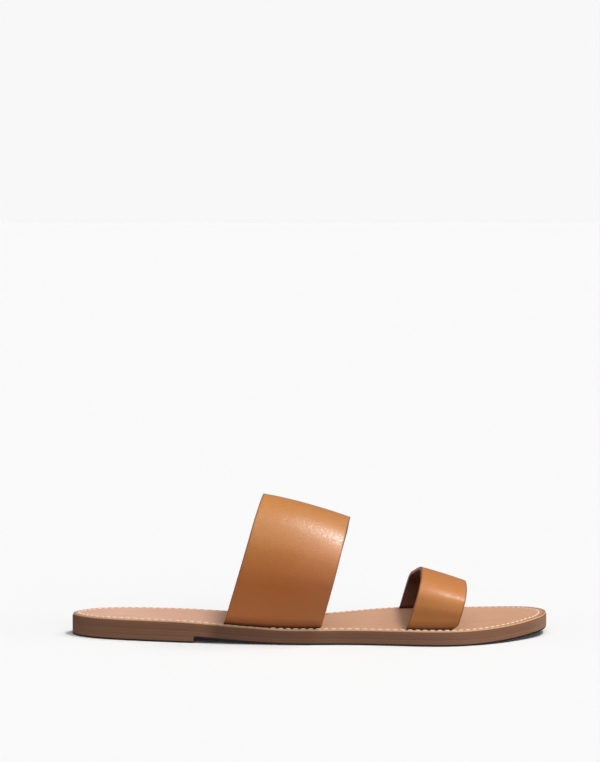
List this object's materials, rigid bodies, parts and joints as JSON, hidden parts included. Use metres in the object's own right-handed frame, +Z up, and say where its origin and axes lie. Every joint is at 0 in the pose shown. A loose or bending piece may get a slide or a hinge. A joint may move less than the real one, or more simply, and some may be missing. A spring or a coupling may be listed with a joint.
{
  "type": "slide sandal",
  "caption": "Flat slide sandal for the right foot: wide leather instep band and narrow toe band through slots in a stitched leather footbed on a low brown sole.",
  "frame": {"origin": "on the floor under the middle of the sole's length and width", "axes": "+X from heel to toe, +Y towards the inner side of the right foot, +Z up"},
  "size_m": [0.256, 0.094, 0.0768],
  "materials": {
    "sole": "matte brown rubber with a fine satin edge",
    "midsole": "brown leatherboard, edge sanded and stained to match the sole",
    "footbed": "smooth pinkish tan leather, semi-matte, light cut edge, cream stitching round the rim",
    "strap": "smooth vegetable-tanned leather, semi-gloss, very fine grain, darker cut edges"
  },
  "bodies": {
    "root": {"heel_lift": "sole", "outsole": "sole", "midsole": "midsole", "insole": "footbed", "instep_strap": "strap", "toe_strap": "strap"}
  },
  "joints": []
}
